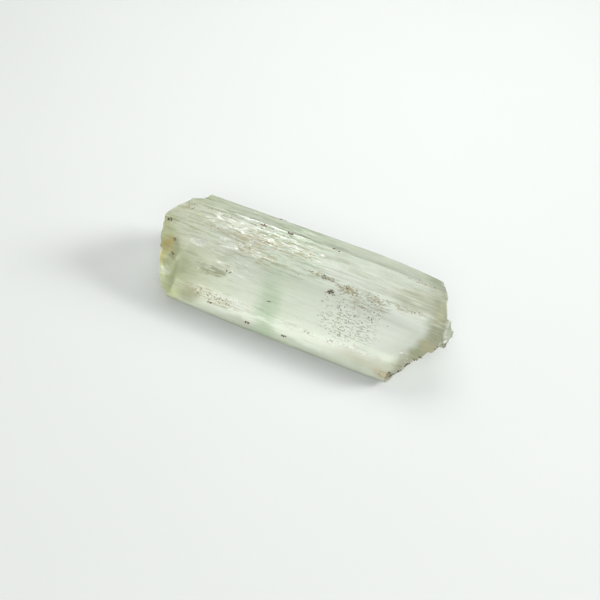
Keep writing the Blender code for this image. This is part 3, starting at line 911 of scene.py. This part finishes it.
stainAndGlintDashes = (  # lines of stain, and pale painted glints, along the striations; regions are centre, reach, softness, strength
    {
        "stretch": (0.6, 5.0, 5.0), "shift": 3.0, "reaches": (0.50, 0.60), "colour": (0.30, 0.24, 0.10),
        "regions": (
            ((-5.5, 0.6, 6.7), (7.0, 1.6, 0.9), 0.7, 0.9),
            ((-5.0, -0.8, 6.2), (6.0, 1.2, 1.2), 0.7, 0.7),
            ((-7.5, -4.7, 2.7), (5.5, 0.8, 1.2), 0.6, 0.9),
            ((3.0, 1.8, 6.8), (5.5, 1.0, 0.7), 0.8, 0.5),
            ((-8.0, -2.6, 4.8), (6.5, 2.6, 2.4), 0.8, 0.4),
            ((6.5, -0.75, 6.35), (6.4, 0.5, 0.5), 0.6, 0.5),
            ((7.5, -1.6, 5.7), (3.0, 1.3, 1.3), 0.7, 0.7),
            ((3.0, -4.75, 2.9), (5.5, 0.5, 0.6), 0.6, 0.45),
        ),
    },
    {
        "stretch": (1.9, 8.5, 8.5), "shift": 11.0, "reaches": (0.51, 0.60), "colour": (0.30, 0.28, 0.20),
        "regions": (
            ((6.1, -3.2, 4.3), (4.2, 2.5, 2.3), 0.7, 0.85),
            ((7.2, -1.5, 5.7), (2.6, 0.9, 0.9), 0.7, 0.7),
        ),
    },
    {
        "stretch": (1.6, 5.0, 5.0), "shift": 51.0, "reaches": (0.45, 0.58), "colour": (0.32, 0.27, 0.13),
        "regions": (
            ((2.2, -0.6, 6.5), (1.7, 0.45, 0.4), 0.6, 1.0),
            ((3.4, -1.5, 5.75), (0.6, 0.4, 0.4), 0.6, 1.0),
            ((4.9, -0.9, 6.2), (1.4, 0.6, 0.6), 0.6, 1.0),
            ((7.9, -1.0, 6.1), (2.0, 0.7, 0.7), 0.7, 0.9),
            ((10.8, -0.7, 6.3), (2.2, 0.4, 0.4), 0.7, 0.9),
            ((11.3, 2.4, 6.8), (2.6, 0.25, 0.4), 0.7, 0.9),
        ),
    },
    {
        "stretch": (0.9, 6.0, 6.0), "shift": 37.0, "reaches": (0.50, 0.59), "colour": (0.50, 0.40, 0.16),
        "regions": (
            ((-6.0, 0.3, 6.7), (4.8, 0.9, 0.6), 0.6, 1.0),
            ((-4.5, -0.8, 6.3), (3.4, 0.9, 0.8), 0.6, 0.9),
            ((-1.5, 1.0, 6.9), (3.6, 1.1, 0.6), 0.7, 0.8),
            ((-7.5, -4.7, 2.7), (4.8, 0.6, 0.9), 0.6, 0.5),
            ((-11.5, 0.8, 6.7), (2.6, 1.2, 0.6), 0.7, 0.6),
        ),
    },
    # pale dashes on the crown, the front slope and along the front bevel's edge: partly etched frosting,
    # partly painted glints
    {
        "stretch": (0.5, 5.0, 5.0), "shift": 23.0, "reaches": (0.53, 0.60), "colour": (1.0, 1.0, 0.97),
        "regions": (
            ((-4.5, 1.2, 6.8), (9.5, 2.2, 1.2), 0.6, 0.6),
            ((-7.0, -2.2, 5.2), (6.5, 3.0, 2.8), 0.7, 0.7),
            ((0.0, -4.7, 2.8), (9.5, 0.7, 1.0), 0.6, 0.9),
        ),
    },
)


def dashed(tree, colour, place, wandered, kind):
    shifted = vectorMaths(tree, "ADD", place, (kind["shift"], 0.0, 0.0))
    stretched = vectorMaths(tree, "MULTIPLY", shifted, kind["stretch"])
    lines = noiseOf(tree, stretched, *gem["dashNoise"])
    mask = remap(tree, lines, *kind["reaches"])
    regions = 0.0
    for centre, reach, softness, strength in kind["regions"]:
        region = product(tree, ellipsoid(tree, wandered, centre, reach, softness), strength)
        regions = maths(tree, "MAXIMUM", regions, region)
    return mixColours(tree, product(tree, mask, regions), colour, kind["colour"])


def breakGap(tree, at, end):
    reaches = []
    for start, perY, perZ in end["planes"]:
        sloping = maths(tree, "MULTIPLY_ADD", at["Y"], perY, product(tree, at["Z"], perZ))
        reaches.append(maths(tree, "ADD", sloping, start))
    reach = reaches[0]
    for other in reaches[1:]:
        reach = maths(tree, "MINIMUM", reach, other)
    reach = maths(tree, "MAXIMUM", reach, end["least"])
    return maths(tree, "SUBTRACT", reach, product(tree, at["X"], end["side"]))


def endBand(tree, gap, reaches):
    inner = remap(tree, gap, reaches[0], reaches[1])
    return product(tree, inner, remap(tree, gap, reaches[2], reaches[3]))


def greenBand(tree, at):
    (lowZ, lowX), (midZ, midX), (highZ, highX) = gem["bandPath"]
    lower = remap(tree, at["Z"], lowZ, midZ, lowX, midX)
    upper = remap(tree, at["Z"], midZ, highZ, 0.0, highX - midX)
    away = maths(tree, "ABSOLUTE", maths(tree, "SUBTRACT", at["X"], maths(tree, "ADD", lower, upper)))
    across = remap(tree, away, *gem["bandEdges"])
    fading, inFront = fade(tree, at, "bandDown"), fade(tree, at, "bandFront")
    return product(tree, across, fading, inFront, gem["bandStrength"])


# painted shade: olive bands near both breaks, standing in for the longer path of light through the
# crystal there
def endOliveShade(tree, at, colour):
    left = endBand(tree, breakGap(tree, at, leftBreak), gem["leftBand"])
    left = product(tree, left, fade(tree, at, "leftOliveFront"))
    right = endBand(tree, breakGap(tree, at, rightBreak), gem["rightBand"])
    right = product(tree, right, fade(tree, at, "rightOliveFront"), fade(tree, at, "rightOliveUp"))
    colour = mixColours(tree, left, colour, gem["olive"])
    return mixColours(tree, right, colour, gem["rightOlive"])


def crystalColour(tree, place, spot, broad, fine):
    wandered = vectorMaths(tree, "ADD", place, jitter(tree, place, *gem["wander"]))
    at = separate(tree, wandered)
    colour = washed(tree, gem["colour"], wandered, gem["washes"])
    colour = mixColours(tree, greenBand(tree, at), colour, gem["bandColour"])
    colour = endOliveShade(tree, at, colour)
    colour = washed(tree, colour, wandered, gem["stains"])
    # painted shade: darkens the lowest strip of the front edge as a contact shadow
    contactShade = product(tree, fade(tree, spot, "contactShadeDown"), fade(tree, spot, "contactShadeOut"))
    colour = mixColours(tree, contactShade, colour, gem["contactShadeColour"])
    facing = separate(tree, addNode(tree, "ShaderNodeNewGeometry").outputs["True Normal"])
    onBreak = remap(tree, maths(tree, "ABSOLUTE", facing["X"]), *gem["breakFacing"])
    ofBreak = mixColours(tree, fade(tree, at, "leftToRight"), *gem["breakColours"])
    colour = mixColours(tree, onBreak, colour, ofBreak)
    onBack = product(tree, fade(tree, spot, "backBehind"), fade(tree, spot, "backUp"))
    colour = mixColours(tree, onBack, colour, gem["backColour"], "MULTIPLY")
    lines = product(tree, fade(tree, spot, "linesUp"), fade(tree, spot, "linesLeft"))
    dark = product(tree, remap(tree, broad, *gem["darkEdges"]), lines, gem["darkStrength"])
    colour = mixColours(tree, dark, colour, gem["darkLine"], "MULTIPLY")
    # pale streaks on the upper faces: partly etched frosting, partly painted glints
    paleGlints = product(tree, remap(tree, fine, *gem["paleEdges"]), lines)
    colour = mixColours(tree, paleGlints, colour, gem["paleGlintLine"])
    for kind in stainAndGlintDashes:
        colour = dashed(tree, colour, place, wandered, kind)
    return colour


def crystalRoughness(tree, place, spot, lengthwise, onTop):
    clouds = noiseOf(tree, place, gem["cloudScale"], 1.0)
    smooth = remap(tree, clouds, *gem["cloudEdges"], *gem["faceRoughness"])
    streaks = noiseOf(tree, lengthwise, gem["streakScale"])
    etched = remap(tree, streaks, *gem["streakEdges"], *gem["crownRoughness"])
    roughness = mixValues(tree, onTop, smooth, etched)
    roughness = mixValues(tree, fade(tree, spot, "roughBehind"), roughness, gem["backRoughness"])
    ofBase = fade(tree, spot, "baseBack", *gem["baseRoughness"])
    return mixValues(tree, fade(tree, spot, "underneath"), roughness, ofBase)


def makeSpodumene():
    material, tree, shader = newMaterial("paleSpodumene")
    place = millimetres(tree)
    spot = separate(tree, place)
    lengthwise = vectorMaths(tree, "MULTIPLY", place, gem["broadStretch"])
    broad = noiseOf(tree, lengthwise, *gem["broadNoise"])
    fine = noiseOf(tree, vectorMaths(tree, "MULTIPLY", place, gem["fineStretch"]))
    onSlope = product(tree, fade(tree, spot, "etchedLeft"), fade(tree, spot, "etchedSlope"))
    onTop = maths(tree, "MAXIMUM", fade(tree, spot, "etchedTop"), onSlope)
    hairlines = product(tree, onTop, gem["hairlines"])
    feedAll(tree, shader, {
        "Base Color": crystalColour(tree, place, spot, broad, fine),
        "Roughness": crystalRoughness(tree, place, spot, lengthwise, onTop),
        "Normal": bumped(tree, fine, hairlines, gem["hairlineDepth"]),
        "IOR": gem["ior"],
        "Transmission Weight": gem["transmission"],
    })
    inputs = {"Color": gem["absorption"], "Density": gem["density"]}
    absorption = made(tree, "ShaderNodeVolumeAbsorption", inputs)
    tree.links.new(absorption, tree.nodes["Material Output"].inputs["Volume"])
    print("crystal material:", len(tree.nodes), "nodes")
    return material


speckled = {
    "mottleEdges": (0.4, 0.6),
    "gritScale": 9.0,  # times as fine as the mottle
    "gritShade": (0.3, 0.7, 0.6, 1.1),  # low and high grit, and the values there
    "gritRoughness": (0.3, 0.7, 0.55, 0.9),
    "gritBump": 0.5,
}


def speckleGroup():
    inputs = ("First Colour", "Color"), ("Second Colour", "Color"), ("Scale", "Float")
    outputs = ("Colour", "Color"), ("Roughness", "Float"), ("Height", "Float")
    tree, given = newGroup("speckle", "ShaderNodeTree", inputs, outputs)
    place = millimetres(tree)
    patches = noiseOf(tree, place, given["Scale"], 2.0)
    grit = noiseOf(tree, place, product(tree, given["Scale"], speckled["gritScale"]), 2.0)
    mottle = remap(tree, patches, *speckled["mottleEdges"])
    colour = mixColours(tree, mottle, given["First Colour"], given["Second Colour"])
    shade = remap(tree, grit, *speckled["gritShade"])
    shaded = mixColours(tree, 1.0, colour, combine(tree, shade, shade, shade), "MULTIPLY")
    roughness = remap(tree, grit, *speckled["gritRoughness"])
    addNode(tree, "NodeGroupOutput", {"Colour": shaded, "Roughness": roughness, "Height": grit})
    return tree


def makeSpeckled(group, name, first, second, scale, gritHeight):
    material, tree, shader = newMaterial(name)
    inputs = {"First Colour": first, "Second Colour": second, "Scale": scale}
    given = addNode(tree, "ShaderNodeGroup", inputs, node_tree=group).outputs
    feedAll(tree, shader, {
        "Base Color": given["Colour"],
        "Roughness": given["Roughness"],
        "Normal": bumped(tree, given["Height"], speckled["gritBump"], gritHeight),
    })
    return material


paper = {
    "colours": ((0.505, 0.52, 0.51), (0.52, 0.535, 0.525)),
    "mottleScale": 0.05,
    "roughness": 0.75,
}


def makePaper():
    material, tree, shader = newMaterial("whiteSheet")
    mottle = noiseOf(tree, millimetres(tree), paper["mottleScale"], 2.0)
    colour = mixColours(tree, mottle, *paper["colours"])
    feedAll(tree, shader, {"Base Color": colour, "Roughness": paper["roughness"]})
    return material


# The sheet, lights and camera

studio = {
    "sheetSize": 1200.0,
    "sheetGap": 0.03,
    "world": (0.98, 1.0, 0.985),
    "worldStrength": 0.38,
    "lamps": (  # azimuth from +X towards +Y, elevation, distance, size, power
        ("keyLamp", 27.0, 26.0, 600.0, 190.0, 4.3),
        ("backPanel", 106.0, 60.0, 95.0, 70.0, 0.044),
        ("frontFill", -65.0, 50.0, 600.0, 400.0, 2.5),
    ),
}
view = {
    "azimuth": 26.3,
    "elevation": 50.0,
    "distance": 99.7,
    "aim": Vector((0.0, 0.0, 3.2)),
    "aimPixel": (305, 287),
    "framePixels": 600,
    "focalPixels": 1030,
    "sensor": 36.0,
}


def towards(azimuth, elevation):
    azimuth, elevation = math.radians(azimuth), math.radians(elevation)
    level = math.cos(elevation)
    return Vector((math.cos(azimuth) * level, math.sin(azimuth) * level, math.sin(elevation)))


def makeSheet(material):
    bm = bmesh.new()
    bmesh.ops.create_grid(bm, x_segments=1, y_segments=1, size=studio["sheetSize"] / 2 * mm)
    bmesh.ops.translate(bm, vec=(0.0, 0.0, -studio["sheetGap"] * mm), verts=bm.verts)
    sheet = newThing("sheet", meshFrom("sheet", bm))
    sheet.data.materials.append(material)
    return sheet


def makeLamps():
    world = bpy.data.worlds.new("studio")
    bpy.context.scene.world = world
    world.use_nodes = True
    sky = {"Color": studio["world"], "Strength": studio["worldStrength"]}
    feedAll(world.node_tree, world.node_tree.nodes["Background"], sky)
    for name, azimuth, elevation, distance, size, power in studio["lamps"]:
        lamp = bpy.data.lights.new(name, "AREA")
        lamp.shape = "SQUARE"
        lamp.size = size * mm
        lamp.energy = power
        thing = newThing(name, lamp)
        thing.location = towards(azimuth, elevation) * distance * mm
        thing.rotation_euler = towards(azimuth, elevation).to_track_quat("Z", "Y").to_euler()


def makeCamera():
    back = towards(view["azimuth"] - 90.0, view["elevation"])
    right = towards(view["azimuth"], 0.0)
    up = back.cross(right)
    perPixel = view["distance"] / view["focalPixels"]
    middle = view["framePixels"] / 2
    aside = right * (middle - view["aimPixel"][0]) + up * (view["aimPixel"][1] - middle)
    camera = bpy.data.cameras.new("camera")
    camera.sensor_width = view["sensor"]
    camera.lens = view["focalPixels"] / view["framePixels"] * view["sensor"]
    camera.clip_start = 1.0 * mm
    thing = newThing("camera", camera)
    pose = Matrix((right, up, back)).transposed().to_4x4()
    pose.translation = (view["aim"] + centring + back * view["distance"] + aside * perPixel) * mm
    thing.matrix_world = pose
    bpy.context.scene.camera = thing


lightPaths = {
    "max_bounces": 24,
    "transmission_bounces": 20,
    "glossy_bounces": 12,
    "diffuse_bounces": 4,
    "sample_clamp_indirect": 20.0,
}


def setScene():
    scene = bpy.context.scene
    scene.cycles.use_denoising = True
    for name, value in lightPaths.items():
        setattr(scene.cycles, name, value)
    scene.view_settings.view_transform = "Standard"


crystal = makeCrystal(makeSpodumene())
grainTree = scatterTree()
speckle = speckleGroup()
kinds = {
    "mineralGrains": darkGrains,
    "rustSpecks": rustGrains,
    "darkCrust": darkCrust,
    "glintSlivers": glintSlivers,
}
pieces = [scatterPiece(name, crystal, grainTree, kind, speckle) for name, kind in kinds.items()]
toFrame(crystal, smooth=True)
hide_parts(crystalNode)
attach(crystal, "root")
for piece in pieces:
    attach(piece, "root")

sheet = makeSheet(makePaper())
makeLamps()
makeCamera()
setScene()
